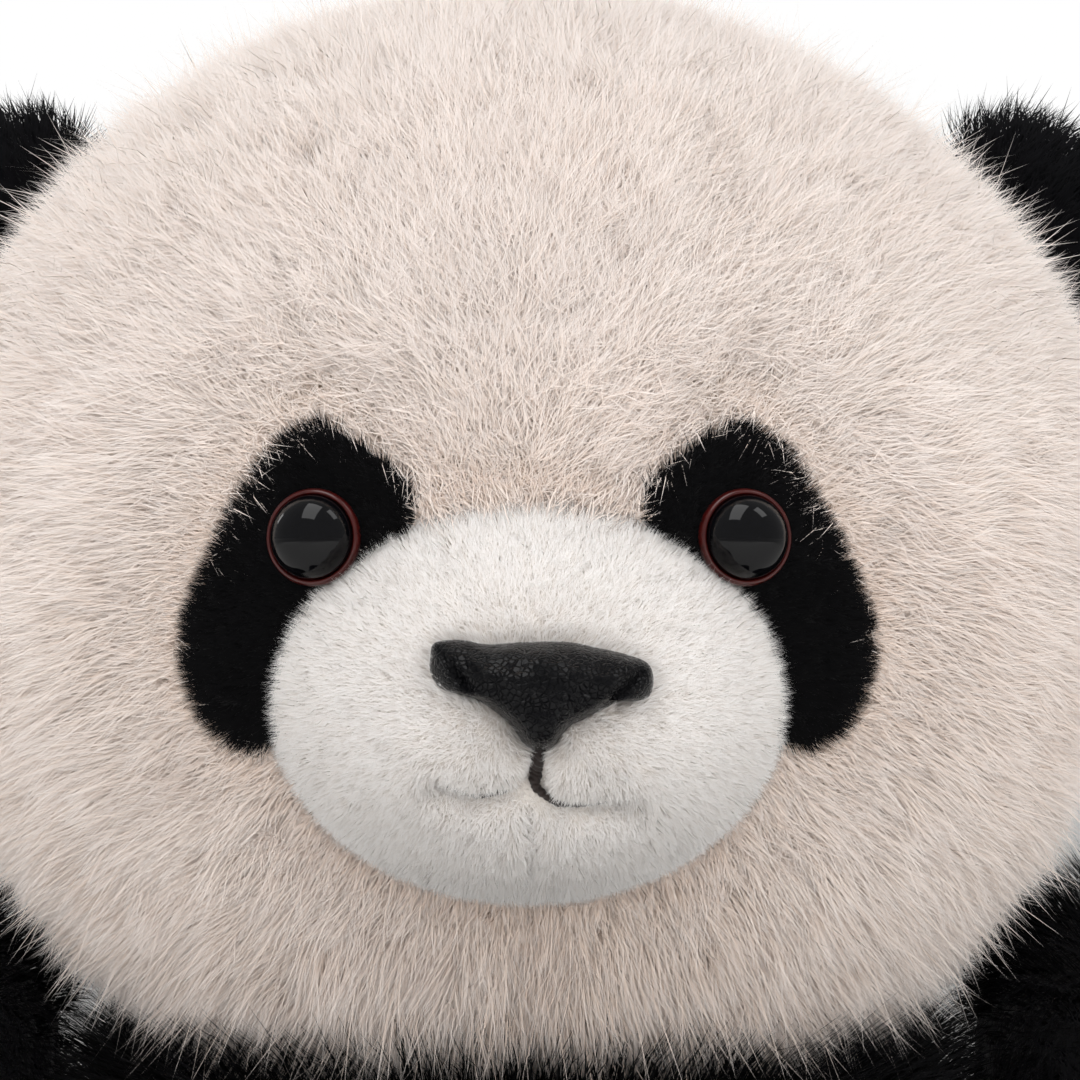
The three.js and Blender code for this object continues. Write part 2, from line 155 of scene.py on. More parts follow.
def backing_finish(name, colour, rib):
    """Knitted backing cloth: fine ribs, a loose felt of fibre roots, and uneven dye."""
    material, shader, at = finish_of(name, Roughness=0.95, Sheen_Weight=0.3, Sheen_Roughness=0.5)
    uneven = at.noise(160, 4)
    dark = tuple(c * 0.72 for c in colour)
    felt = at.noise(1400, 2) * 0.3
    drive(shader, Base_Color=uneven.blend(dark, colour), Bump=felt + at.noise(rib, 2) * 0.4)
    return material


def ball(subdivisions):
    """Corners and triangles of an even ball of radius 1."""
    made = bmesh.new()
    bmesh.ops.create_icosphere(made, subdivisions=subdivisions, radius=1)
    points = np.array([v.co for v in made.verts])
    triangles = np.array([[v.index for v in f.verts] for f in made.faces])
    made.free()
    return points, triangles


def kept(points, triangles, mask):
    """The part of a surface whose triangles are in the mask, without unused corners."""
    used, again = np.unique(triangles[mask], return_inverse=True)
    return points[used], again.reshape(-1, 3)


directions, ball_faces = ball(7)
head_points = HEAD + directions * (HEAD_HALF - BACKING_IN)
middle = head_points[ball_faces].mean(1)
in_gusset = (middle[:, 1] < SEAM_Y) & (abs(middle[:, 0]) < GUSSET[1].x) & (middle[:, 2] > GUSSET[0].z)
in_back = middle[:, 1] > SEAM_Y
above_neck = middle[:, 2] > NECK_Z
head_panels = {
    "head_gusset": in_gusset,
    "head_side_left": ~in_gusset & ~in_back & (middle[:, 0] > 0),
    "head_side_right": ~in_gusset & ~in_back & (middle[:, 0] <= 0),
    "head_back_left": in_back & (middle[:, 0] > 0),
    "head_back_right": in_back & (middle[:, 0] <= 0),
}
tan_backing = backing_finish("tan_backing", dye(205, 184, 164), 500)
for node, mask in head_panels.items():
    cloth = piece(node + "_cloth", *kept(head_points, ball_faces, mask & above_neck), tan_backing, "head")
    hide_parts(node)

# ---- Long white pile of the head ----
# Acrylic fibres about 10 mm long, tan at the root and cream at the tip. They are brushed away from the
# muzzle over the cheeks, stand up and lean every way on the forehead, lie down at the back, and are
# shorter along the seams. Beside the muzzle and eye patches and low on the front the fibres turn tan:
# painted shade, with the real tan parting of the seams there.

PILE_WIDTH = 0.15 * MM


def unit(v):
    return v / np.maximum(np.linalg.norm(v, axis=-1, keepdims=True), 1e-12)


def corner_normals(points, triangles):
    """Outward direction at each corner of a closed or open surface of triangles."""
    a, b, c = (points[triangles[:, i]] for i in range(3))
    face, total = np.cross(b - a, c - a), np.zeros_like(points)
    for i in range(3):
        np.add.at(total, triangles[:, i], face)
    return unit(total)


def soft_step(x, low, high):
    t = np.clip((x - low) / (high - low), 0, 1)
    return t * t * (3 - 2 * t)


def pile_finish(name, root, middle, tip, warm, sheen):
    """Acrylic fibre, tan or dark at the root and pale at the tip. Fibres differ a little in dye, and the
    darker ramp also paints shade on fibres that the pile darkens.
    """
    material, shader, at = finish_of(
        name, Roughness=0.7, Specular_IOR_Level=0.12 + sheen, Sheen_Weight=sheen, Sheen_Roughness=0.5)
    place = at.node("ShaderNodeUVMap", {"uv_map": "OFBake"}, {})
    across = at.node("ShaderNodeSeparateXYZ", {}, {0: place}, 0)
    along = at.node("ShaderNodeSeparateXYZ", {}, {0: place}, 1)
    plain = along.ramp((0.0, root), (0.45, middle), (1.0, tip))
    darker = along.ramp((0.0, tuple(c * 0.8 for c in root)), (0.6, warm), (1.0, tuple(c * 0.93 for c in tip)))
    drive(shader, Base_Color=across.blend(darker, plain), Roughness=0.62 + across * 0.2)
    return material


def scatter(points, triangles, per_mm2, rng):
    """Even random places on a surface and the outward direction at each."""
    normals = corner_normals(points, triangles)
    a, b, c = (points[triangles[:, i]] for i in range(3))
    area = np.linalg.norm(np.cross(b - a, c - a), axis=1) / 2
    count = int(area.sum() / MM**2 * per_mm2)
    chosen = np.searchsorted(np.cumsum(area), rng.random(count) * area.sum())
    chosen = np.minimum(chosen, len(area) - 1)
    u, v = rng.random((2, count, 1))
    u, v = np.where(u + v > 1, 1 - u, u), np.where(u + v > 1, 1 - v, v)
    mix = [1 - u - v, u, v]
    at = sum(m * points[triangles[chosen, i]] for i, m in enumerate(mix))
    out = sum(m * normals[triangles[chosen, i]] for i, m in enumerate(mix))
    return at, unit(out)


def fibres(name, body, roots, out, flow, rng, material, length, width, lean, clump=(4.0, 0.5), stray=0.35,
           droop=0.15, bends=True, tan_and_shade=0.0, wild=0.0, glint=0.12):
    """A pile of tapered fibres. flow is the way each is brushed, lean its angle from upright in radians,
    clump the size of the locks in mm and how far their tips close up, stray the spread of directions,
    warmth how far each one turns tan, partly its own tone and partly painted shade, and wild the share
    of loose ends that stand off the pile."""
    count = len(roots)
    length = length * (1 + rng.normal(0, 0.12, count)).clip(0.5, 1.4)
    brushed = unit(flow - (flow * out).sum(1, keepdims=True) * out)
    across = np.cross(out, brushed)
    lock_size, closing = clump[0] * MM, clump[1]
    waves = ((310, 170), (230, -290), (190, 350))
    wander = np.stack([np.sin(roots[:, [1]] * k + roots[:, [2]] * m) for k, m in waves], 2)
    cell = np.floor((roots + wander[:, 0] * lock_size * 0.4) / lock_size).astype(np.int64)
    key = (cell * np.array([73856093, 19349663, 83492791])).sum(1)
    _, lock = np.unique(key, return_inverse=True)
    locks = lock.max() + 1
    lock_turn, lock_lift, lock_dye = rng.normal(0, 1, (3, locks))
    turn = rng.normal(0, stray, count) + lock_turn[lock] * stray * 0.6
    way = brushed * np.cos(turn)[:, None] + across * np.sin(turn)[:, None]
    tilt = lean * (1 + rng.normal(0, 0.18, count) + lock_lift[lock] * 0.12)
    loose = rng.random(count) < wild
    tilt, length = np.where(loose, tilt * 0.65, tilt), np.where(loose, length * 1.3, length)
    first, second = (tilt * 0.7)[:, None], (tilt * 1.25).clip(0, 1.5)[:, None]
    half = (length / 2)[:, None]
    bend = roots + half * (out * np.cos(first) + way * np.sin(first))
    tips = bend + half * unit(out * np.cos(second) + way * np.sin(second) - np.array([0, 0, droop]))
    total = np.stack([np.bincount(lock, tips[:, i]) for i in range(3)], 1) / np.bincount(lock)[:, None]
    pull = (closing * rng.random(count) * ~loose)[:, None]
    tips = tips + (total[lock] - tips) * pull
    bend = bend + (total[lock] - tips) * pull * 0.15
    tips[:, 2] = np.maximum(tips[:, 2], rng.random(count) * MM)  # none goes through the floor
    bend[:, 2] = np.maximum(bend[:, 2], rng.random(count) * MM)
    along = unit(tips - roots)
    side = unit(unit(np.cross(along, out)) + rng.normal(0, 0.22, (count, 3)))
    side = unit(side - (side * along).sum(1, keepdims=True) * along)
    face = np.cross(side, along)
    turned_in = (face * out).sum(1, keepdims=True) < 0
    side, face = np.where(turned_in, -side, side), np.where(turned_in, -face, face)
    reach = side * (width / 2 * (0.7 + 0.6 * rng.random(count)))[:, None]
    base = roots - out * 0.4 * MM
    # warmth, partly painted shade, moves a fibre onto the darker ramp
    tint = (0.64 - tan_and_shade + rng.normal(0, 0.09, count) + lock_dye[lock] * 0.05).clip(0.03, 0.97)
    if bends:
        corners = np.stack([base - reach, base + reach, bend - reach * 0.8, bend + reach * 0.8, tips], 1)
        plan, heights = [[0, 1, 3], [0, 3, 2], [2, 3, 4]], [0, 0, 0.5, 0.5, 1]
        sides = [-1, 1, -1, 1, 0]
    else:
        corners = np.stack([base - reach, base + reach, tips], 1)
        plan, heights, sides = [[0, 1, 2]], [0, 0, 1], [-1, 1, 0]
    each = corners.shape[1]
    faces = (np.arange(count)[:, None, None] * each + np.array(plan)[None]).reshape(-1, 3)
    made = piece(name, corners.reshape(-1, 3), faces, material, body)
    mesh = made.data
    uv = mesh.uv_layers.new(name="OFBake")
    u = (tint[:, None] + np.array(sides)[None] * 0.008).reshape(-1)
    v = np.tile(np.array(heights) * 0.96 + 0.02, count)
    loops = faces.reshape(-1)
    uv.data.foreach_set("uv", np.stack([u[loops], v[loops]], 1).astype(np.float32).ravel())
    soft = np.repeat(unit(out + face * glint), each, 0)
    mesh.normals_split_custom_set_from_vertices(soft.tolist())
    return made


def joined(nodes):
    """Corners and faces of CAD nodes, all together."""
    points, faces, start = [], [], 0
    for node in nodes:
        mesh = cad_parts[node].data
        points += [tuple(v.co) for v in mesh.vertices]
        faces += [[start + i for i in p.vertices] for p in mesh.polygons]
        start = len(points)
    return points, faces


def tree_of(*nodes):
    """The surfaces of CAD nodes, for finding how near they are."""
    return BVHTree.FromPolygons(*joined(nodes))


def nearness(tree, points, reach):
    """How far each point is from a surface, no more than reach."""
    found = (tree.find_nearest(Vector(p), reach)[3] for p in points)
    return np.array([reach if far is None else far for far in found])


def covered(tree, points, out, reach=14 * MM):
    """Whether something lies over each point, along the outward direction."""
    hits = (tree.ray_cast(Vector(p - 5 * MM * n), Vector(n), reach)[0] for p, n in zip(points, out))
    return np.array([hit is not None for hit in hits])


white_pile = pile_finish(
    "white_pile", dye(224, 204, 187), dye(240, 229, 221), dye(247, 240, 236), dye(230, 208, 192), 0.2)
face_tree = tree_of("eye_patch_left", "eye_patch_right", "muzzle_cover")
muzzle_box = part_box("muzzle_cover")
MUZZLE = np.array([0, muzzle_box[0].y + 30 * MM, muzzle_box[0].z + 24.6 * MM])
rng = np.random.default_rng(11)


def head_pile(node, mask, per_mm2, under_mm2):
    at, out = scatter(*kept(head_points, ball_faces, mask & above_neck), per_mm2, rng)
    at_front = at[:, 1] < HEAD[1] - 15 * MM
    under = np.zeros(len(at), bool)
    near = np.full(len(at), 30 * MM)
    under[at_front] = covered(face_tree, at[at_front], out[at_front])
    near[at_front] = nearness(face_tree, at[at_front], 30 * MM)
    at, out, near = at[~under], out[~under], near[~under]
    from_face = at - np.array([MUZZLE[0], 0, MUZZLE[2] + 4 * MM])
    from_face[:, 1] = 0
    depth = (at[:, 1] - HEAD[1]) / HEAD_HALF[1]
    front, back = soft_step(-depth, -0.35, 0.5)[:, None], soft_step(depth, 0.1, 0.9)[:, None]
    flow = unit(from_face) * front + np.array([0, 1, 0]) * (1 - front) * (1 - back)
    flow += np.array([0, 0, -0.25]) - np.array([0, 0, 1.2]) * back
    aside, up = abs(at[:, 0]), at[:, 2] - MUZZLE[2]
    brow = soft_step(up, 10 * MM, 22 * MM) * soft_step(44 * MM - aside, 0, 8 * MM)
    over = (near < 4.5 * MM) & (rng.random(len(at)) < 0.07 + 0.3 * brow)  # ends that stray over the face
    flow[over] *= -1
    height = (at[:, 2] - HEAD[2]) / HEAD_HALF[2]
    upright = soft_step(height, 0.08, 0.42) * soft_step(-depth, -0.2, 0.4)
    low = soft_step(-height, 0.1, 0.8) * soft_step(-depth, 0.0, 0.5)
    lean = 0.98 - 0.34 * upright
    reach = (4.2 + 6.4 * soft_step(near, 1.5 * MM, 14 * MM)) * MM * (1 - 0.12 * upright + 0.15 * low)
    lean, reach = np.where(over, 1.2, lean), np.where(over, reach.clip(6.5 * MM), reach)
    # painted shade: fibres within 7 mm of the muzzle and eye patches turn tan, with the seams' real parting
    tan_and_shade = 0.34 * (1 - soft_step(near, 0, 7 * MM)) * ~over
    # painted shade low on the front under the muzzle, plus a real tan parting down the chin seam
    tan_and_shade += low * (0.3 + 0.2 * np.exp(-((at[:, 0] / (5 * MM)) ** 2)))
    locks = (4.5, 0.16 + 0.2 * (1 - upright) + 0.22 * low)
    wave = np.array([at[:, 0] * 90 + 1.7, at[:, 2] * 70, at[:, 1] * 80 + 0.6])
    mottle = np.sin(wave[0] + 2 * np.sin(wave[1])) + np.sin(wave[1] * 1.7 + wave[2])
    tan_and_shade += 0.06 * mottle * (1 - 0.6 * upright)
    no_seam = 100 * MM
    seams = np.minimum(aside + no_seam * (height > -0.1), abs(at[:, 1] - SEAM_Y) + no_seam * (depth < -1))
    reach *= 0.8 + 0.2 * soft_step(seams, 0, 2.5 * MM)
    made = fibres(node + "_pile", "head", at, out, flow, rng, white_pile, reach, PILE_WIDTH, lean,
                  clump=locks, stray=0.35 + 0.45 * upright, tan_and_shade=tan_and_shade, wild=0.03)
    again = rng.integers(0, len(at), int(len(at) * under_mm2 / per_mm2))
    at, out, flow, reach, lean, tan_and_shade = (each[again] for each in (at, out, flow, reach, lean, tan_and_shade))
    shift = rng.normal(0, 0.25 * MM, at.shape)
    made = fibres(node + "_underpile", "head", at + shift, out, flow, rng, white_pile, reach * 0.68,
                  0.24 * MM, lean * 0.9, clump=(3, 0.1), stray=0.8, tan_and_shade=tan_and_shade, bends=False)


HEAD_FIBRES = {"gusset": (8, 14), "side": (5.0, 13), "back": (3.4, 9)}  # long and short ones to a mm2
for node, mask in head_panels.items():
    head_pile(node, mask, *HEAD_FIBRES[node.split("_")[1]])

# ---- Eye patches ----
# Teardrops of short black pile, one under each eye, slanting down and out. Each is let into the white
# cloth of the head and sewn round its edge, and its pile is brushed away from the muzzle.

black_backing = backing_finish("black_backing", dye(8, 7, 9), 500)
short_black = pile_finish("short_black_pile", dye(3, 3, 4), dye(5, 5, 7), dye(12, 12, 14), dye(7, 6, 6), 0.02)
rng = np.random.default_rng(12)


def remeshed(name, nodes, voxel, smooth):
    """The outer surface of CAD nodes as even, rounded faces: corners and faces of four."""
    points, faces = joined(nodes)
    mesh = bpy.data.meshes.new(name)
    mesh.from_pydata(points, [], faces)
    made = bpy.data.objects.new(name, mesh)
    bpy.context.scene.collection.objects.link(made)
    weld = made.modifiers.new("weld", "WELD")
    weld.merge_threshold = 0.00001
    remesh = made.modifiers.new("remesh", "REMESH")
    remesh.mode, remesh.voxel_size = "VOXEL", voxel
    if smooth:
        even = made.modifiers.new("even", "SMOOTH")
        even.iterations, even.factor = smooth, 0.5
    return made


def baked(made):
    """An object's mesh with its modifiers applied, as the object's own mesh."""
    result = bpy.data.meshes.new_from_object(made.evaluated_get(bpy.context.evaluated_depsgraph_get()))
    made.modifiers.clear()
    old, made.data = made.data, result
    bpy.data.meshes.remove(old)
    return made


def surface(made):
    """Corners and triangles of an object's mesh."""
    mesh = made.data
    mesh.calc_loop_triangles()
    points, triangles = np.zeros(len(mesh.vertices) * 3), np.zeros(len(mesh.loop_triangles) * 3, np.int32)
    mesh.vertices.foreach_get("co", points)
    mesh.loop_triangles.foreach_get("vertices", triangles)
    return points.reshape(-1, 3), triangles.reshape(-1, 3)


def dressed(made, material, body):
    made.data.materials.clear()
    made.data.materials.append(material)
    made.data.shade_smooth()
    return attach(made, body)


for side in ("left", "right"):
    patch = baked(remeshed(f"eye_patch_{side}_cloth", [f"eye_patch_{side}"], 0.7 * MM, 6))
    dressed(patch, black_backing, "head")
    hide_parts(f"eye_patch_{side}")
    points, triangles = surface(patch)
    normals = corner_normals(points, triangles)
    outer = ((normals * unit((points - HEAD) / HEAD_HALF**2)).sum(1) > 0.1)[triangles].all(1)
    at, out = scatter(*kept(points, triangles, outer), 22, rng)
    flow = at - MUZZLE
    nap = fibres(f"eye_patch_{side}_pile", "head", at, out, flow, rng, short_black, 2.6 * MM, 0.16 * MM, 0.6,
                 clump=(1.6, 0.3), stray=0.6, bends=False)

# ---- Eyes ----
# Moulded safety eyes: a black plastic dome over a red-brown plastic rim. The dome's ribbed shank goes
# through the rim and the cloth, and a toothed washer pushed over it from inside locks it.

eye_black, shader, at = finish_of("eye_black", Roughness=0.05, IOR=1.46, Specular_IOR_Level=0.32)
drive(shader, Base_Color=at.noise(900, 2).blend(dye(3, 3, 4), dye(9, 9, 12)),
      Roughness=0.04 + at.noise(350, 2) * 0.03)
eye_rim, shader, at = finish_of("eye_rim", Roughness=0.28, Coat_Weight=0.3, Coat_Roughness=0.1, IOR=1.46)
drive(shader, Base_Color=at.noise(700, 3).blend(dye(38, 7, 6), dye(76, 15, 12)),
      Bump=at.noise(2500, 2) * 0.01)
washer_white, shader, at = finish_of("washer_white", Roughness=0.45)
drive(shader, Base_Color=at.noise(600, 3).blend(dye(214, 213, 208), dye(232, 231, 227)),
      Bump=at.noise(3000) * 0.03)


def tube_faces(rows, around):
    """Faces of four between rows of corners that each close in a ring."""
    i, j = np.meshgrid(np.arange(rows - 1), np.arange(around), indexing="ij")
    a, b = i * around + j, i * around + (j + 1) % around
    return np.stack([a, b, b + around, a + around], -1).reshape(-1, 4)


def lathe(name, profile, around, at, out, material, body):
    """A turned piece: profile holds radius and height in mm along the outward direction."""
    up = unit(np.array(out, float))
    right = unit(np.cross(up, [0, 0, 1.0]))
    other = np.cross(right, up)
    turn = np.linspace(0, 2 * math.pi, around, endpoint=False)
    rim = np.cos(turn)[:, None] * right + np.sin(turn)[:, None] * other
    rows = [at + (rim * radius + up * height) * MM for radius, height in profile]
    faces = tube_faces(len(profile), around)[:, [0, 3, 2, 1]]
    return piece(name, np.concatenate(rows), faces, material, body)


for side in ("left", "right"):
    low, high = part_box(f"eye_rim_{side}")
    centre = np.array((low + high) / 2)
    out = unit((centre - HEAD) / HEAD_HALF**2)
    seat = centre - out * 0.8 * MM  # middle of the rim's back face
    arc = [(5.2 * math.cos(a), 1.3 + 4.3 * math.sin(a)) for a in np.linspace(0, math.pi / 2, 18)]
    ribs = [(2.0 - 0.25 * (k % 2), -10.5 + k * 0.6) for k in range(20)]
    shank = [(0.01, -11.1), (1.9, -11.0)] + ribs + [(2.0, 1.2)]
    dome = lathe(f"eye_dome_{side}_plastic", shank + [(5.0, 1.2)] + arc[:-1] + [(0.01, 5.6)], 56, seat, out,
                 eye_black, "head")
    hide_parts(f"eye_dome_{side}")
    ring = [(2.3, 0.1), (5.6, 0.0), (5.9, 0.2), (6.0, 0.6), (5.97, 1.0), (5.85, 1.35), (5.65, 1.6),
            (5.45, 1.65), (5.3, 1.5), (5.25, 1.1), (5.0, 0.95), (2.3, 0.95), (2.3, 0.1)]
    rim = lathe(f"eye_rim_{side}_plastic", ring, 56, seat, out, eye_rim, "head")
    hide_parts(f"eye_rim_{side}")
    low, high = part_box(f"eye_washer_{side}")
    teeth = [(2.2, -0.6), (6.2, -0.7), (6.5, -0.4), (6.5, 0.3), (6.1, 0.6), (3.4, 0.5), (3.0, 0.9),
             (2.2, 0.8), (2.2, -0.6)]
    centre = np.array((low + high) / 2)
    washer = lathe(f"eye_washer_{side}_plastic", teeth, 40, centre, out, washer_white, "head")
    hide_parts(f"eye_washer_{side}")

# ---- Muzzle ----
# A short-pile cover over its own stuffing, sewn to the face. Stitches under the nose pull it into two
# cheeks, the mouth line is drawn in, and a seam runs down the chin.

MUZZLE_HALF = np.array([30.3, 28.6, 23.8]) * MM
MOUTH = np.array([[-10.6, -10.5], [-8.6, -11.3], [-6.4, -12.0], [-2.8, -11.3], [0.1, -10.5], [1.3, -11.6],
                  [3.1, -12.9], [5.8, -13.1], [10.3, -12.6]]) * MM  # across and up, from the muzzle's middle
STEM_X = 0.7 * MM  # the stem's place across the muzzle
muzzle_cloth = backing_finish("muzzle_backing", dye(236, 228, 220), 500)
muzzle_pile = pile_finish(
    "muzzle_pile", dye(226, 216, 207), dye(246, 243, 240), dye(252, 251, 250), dye(236, 226, 217), 0.2)
rng = np.random.default_rng(13)


def from_line(across, up, line):
    """How far places on the face are from a stitched line."""
    place, best = np.stack([across, up], 1), np.full(len(across), 1.0)
    for a, b in zip(line[:-1], line[1:]):
        t = (((place - a) @ (b - a)) / ((b - a) @ (b - a))).clip(0, 1)[:, None]
        best = np.minimum(best, np.linalg.norm(place - a - t * (b - a), axis=1))
    return best


def bulge(x, z, at_x, at_z, wide, tall):
    return np.exp(-(((x - at_x * MM) / (wide * MM)) ** 2 + ((z - at_z * MM) / (tall * MM)) ** 2))


directions, muzzle_faces = ball(6)
across, up = directions[:, 0] * MUZZLE_HALF[0], directions[:, 2] * MUZZLE_HALF[2]
in_front = soft_step(-directions[:, 1], 0.0, 0.6)
height = 2.6 * bulge(abs(across), up, 10.5, -7.5, 8.5, 7) + 1.6 * bulge(across, up, 0, -18, 10, 4.5)
stem_crease = np.exp(-(((across - STEM_X) / (1.7 * MM)) ** 2))
height -= 2.4 * stem_crease * soft_step(up, -12.5 * MM, -9 * MM) * soft_step(-up, 0, 4 * MM)
height -= 2.2 * np.exp(-((from_line(across, up, MOUTH) / (1.5 * MM)) ** 2))
height -= 1.3 * np.exp(-((across / (1.1 * MM)) ** 2)) * soft_step(-up, 12 * MM, 15 * MM)
height -= 1.2 * bulge(across, up, 0, 4, 9, 6)
out = unit(directions / MUZZLE_HALF)
muzzle_points = MUZZLE + directions * MUZZLE_HALF + out * (height * in_front)[:, None] * MM
proud = (((muzzle_points - HEAD) / (HEAD_HALF - 6 * MM)) ** 2).sum(1) > 1
muzzle_skin = kept(muzzle_points, muzzle_faces, proud[muzzle_faces].all(1))
muzzle = piece("muzzle_cover_cloth", *muzzle_skin, muzzle_cloth, "head")
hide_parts("muzzle_cover")
muzzle_tree = BVHTree.FromPolygons(muzzle_skin[0].tolist(), muzzle_skin[1].tolist())
NOSE_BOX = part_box("nose")
NOSE = np.array((NOSE_BOX[0] + NOSE_BOX[1]) / 2)

# ---- Nose ----
# A padded triangle of black embossed leatherette with rounded corners. Its edges are turned under and
# stitched, so tucks run in from the upper corners and a soft ridge joins them.

NOSE_EDGE = [(-12.7, 6.0), (-9.6, 6.3), (-6.6, 5.8), (-3.2, 6.0), (2.6, 6.1), (7.0, 5.3), (10.3, 4.5),
             (12.6, 3.5), (13.3, 1.6), (12.8, -0.4), (11.2, -1.0), (9.4, -1.0), (7.2, -2.1),
             (5.4, -3.0), (3.5, -3.9), (2.3, -5.2), (1.2, -6.6), (-0.9, -6.8), (-2.3, -6.0),
             (-3.4, -4.4), (-5.2, -2.6), (-7.7, -0.9), (-10.0, -0.2), (-12.2, 0.6), (-13.3, 2.4),
             (-13.3, 4.4)]
ASKEW = 1.2 * MM  # the nose is sewn on a little to one side
leather, shader, at = finish_of("black_leatherette", Roughness=0.4, Specular_IOR_Level=0.2)
pebble = at.node("ShaderNodeTexVoronoi", {"feature": "DISTANCE_TO_EDGE"}, {"Vector": at, "Scale": 1400.0})
worn = at.noise(260, 4)
drive(shader, Base_Color=worn.blend(dye(3, 3, 4), dye(10, 10, 13)), Roughness=0.17 + worn * 0.16,
      Bump=pebble.math("MINIMUM", pebble, 0.16) * 1.1 + at.noise(3500, 2) * 0.04)


def smooth_loop(points, count):
    """Even places round a closed line that runs smoothly through points."""
    points = np.asarray(points, float)
    size = len(points)
    t = np.linspace(0, size, count, endpoint=False)
    i, f = np.floor(t).astype(int), (t % 1)[:, None]
    p = [points[(i + k) % size] for k in (-1, 0, 1, 2)]
    return 0.5 * (2 * p[1] + (p[2] - p[0]) * f + (2 * p[0] - 5 * p[1] + 4 * p[2] - p[3]) * f**2
                  + (3 * p[1] - p[0] - 3 * p[2] + p[3]) * f**3)


edge = smooth_loop(NOSE_EDGE, 130) * MM
rings = [0.002] + list(np.linspace(0.08, 1, 22)[:-1]) + [0.985, 1.0, 1.0, 0.96, 0.8, 0.002]
x, z = np.stack([edge[:, 0] * s for s in rings]), np.stack([edge[:, 1] * s for s in rings])
s = np.array(rings)[:, None]
crown = (1 - s**7).clip(0, 1) ** 0.6
ridge = z - (1.9 + 2.4 * soft_step(-x, 8.5 * MM, 12.5 * MM)) * MM
slope = np.where(ridge > 0, ridge * 0.64, -ridge * 0.06)
slope = np.sqrt(slope**2 + (0.15 * MM) ** 2)
tuck = np.zeros_like(x)
for (ax, az), (bx, bz), deep in (((-12.4, 5.6), (-8.6, 0.4), 1.4), ((12.0, 2.6), (6.0, -2.6), 1.3),
                                 ((-11.2, 5.6), (-7.8, 2.2), 0.35), ((4.4, -3.4), (3.0, -0.6), 0.3)):
    line = np.array([[ax, az], [bx, bz]]) * MM
    near = from_line(x.ravel(), z.ravel(), line).reshape(x.shape)
    tuck += deep * MM * np.exp(-((near / (0.5 * MM)) ** 2))
sag = 0.25 * MM * (np.sin(x * 900 + z * 500) * np.sin(z * 1100 - x * 300)) * (s < 0.95)
depth = 7.2 * MM * crown * (1 - 0.45 * (x / (13 * MM)) ** 2) - slope * crown - (tuck + sag) * crown
y = NOSE_BOX[0].y + 7.2 * MM - depth
for row, back in zip((-4, -3, -2, -1), (1.2, 2.0, 2.6, 2.8)):
    y[row] = NOSE_BOX[0].y + (7.2 + back) * MM
points = np.stack([NOSE[0] + ASKEW + x, y, (NOSE_BOX[1].z - 6.4 * MM) + z], -1)
faces = tube_faces(len(rings), len(edge))
nose = piece("nose_leatherette", points.reshape(-1, 3), faces, leather, "head")
nose_tree = BVHTree.FromPolygons(points.reshape(-1, 3).tolist(), faces.tolist())
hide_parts("nose")

# ---- Mouth stitches ----
# Twisted black-brown thread: a thick satin stem from the nose to the mouth, and a thin curved stitch
# line to each side. They lie in the creases that they pull into the muzzle.

thread, shader, at = finish_of("mouth_thread", Roughness=0.7, Sheen_Weight=0.3, Sheen_Roughness=0.4)
drive(shader, Base_Color=at.noise(1500, 2).blend(dye(22, 16, 15), dye(52, 40, 36)),
      Bump=at.noise(6000, 2) * 0.05)


def twisted(name, line, thick, thin, proud, plies, pitch):
    """A twisted thread along places on the face, lying on the muzzle, from thick to thin."""
    line = np.asarray(line, float)
    steps = np.linspace(0, len(line) - 1, 16 * (len(line) - 1) + 1)
    place = np.stack([np.interp(steps, range(len(line)), line[:, k]) for k in (0, 1)], 1)
    path = []
    for across, up in place:
        start = Vector((MUZZLE[0] + across, MUZZLE[1] - 60 * MM, MUZZLE[2] + up))
        hit = muzzle_tree.ray_cast(start, Vector((0, 1, 0)))[0]
        path.append([hit.x, hit.y - proud, hit.z])
    path = np.array(path)
    for _ in range(6):
        path[1:-1] = (path[:-2] + path[1:-1] * 2 + path[2:]) / 4
    ends = np.linspace(0, 1, len(path))
    radius = (thick + (thin - thick) * ends) * np.sqrt(np.clip(1 - (2 * ends - 1) ** 12, 0.02, 1))
    run = np.concatenate([[0], np.cumsum(np.linalg.norm(np.diff(path, axis=0), axis=1))])
    along = unit(np.gradient(path, axis=0))
    right = unit(np.cross(along, [0, 1.0, 0]))
    other = np.cross(right, along)
    around = 18
    turn = np.linspace(0, 2 * math.pi, around, endpoint=False)
    relief = 1 + 0.14 * np.cos(plies * (turn[None] - 2 * math.pi * run[:, None] / pitch))
    ring = (np.cos(turn)[None, :, None] * right[:, None] + np.sin(turn)[None, :, None] * other[:, None])
    points = path[:, None] + ring * (relief * radius[:, None])[..., None]
    made = piece(name + "_stitch", points.reshape(-1, 3), tube_faces(len(path), around), thread, "head")
    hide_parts(name)


STEM = np.array([[0.9, -5.6], [0.7, -8.0], [0.3, -10.7]]) * MM
twisted("mouth_stem_thread", STEM, 0.95 * MM, 0.7 * MM, 0.5 * MM, 3, 3.0 * MM)
twisted("mouth_thread_left", MOUTH[4:], 0.6 * MM, 0.2 * MM, 0.3 * MM, 2, 1.6 * MM)
twisted("mouth_thread_right", MOUTH[3::-1], 0.35 * MM, 0.35 * MM, 0.2 * MM, 2, 1.6 * MM)

# ---- Short pile of the muzzle ----
# Fine white pile, longest round the edge, brushed away from the nose. It stands up against the nose's
# edge and closes over the ends of the mouth stitches.

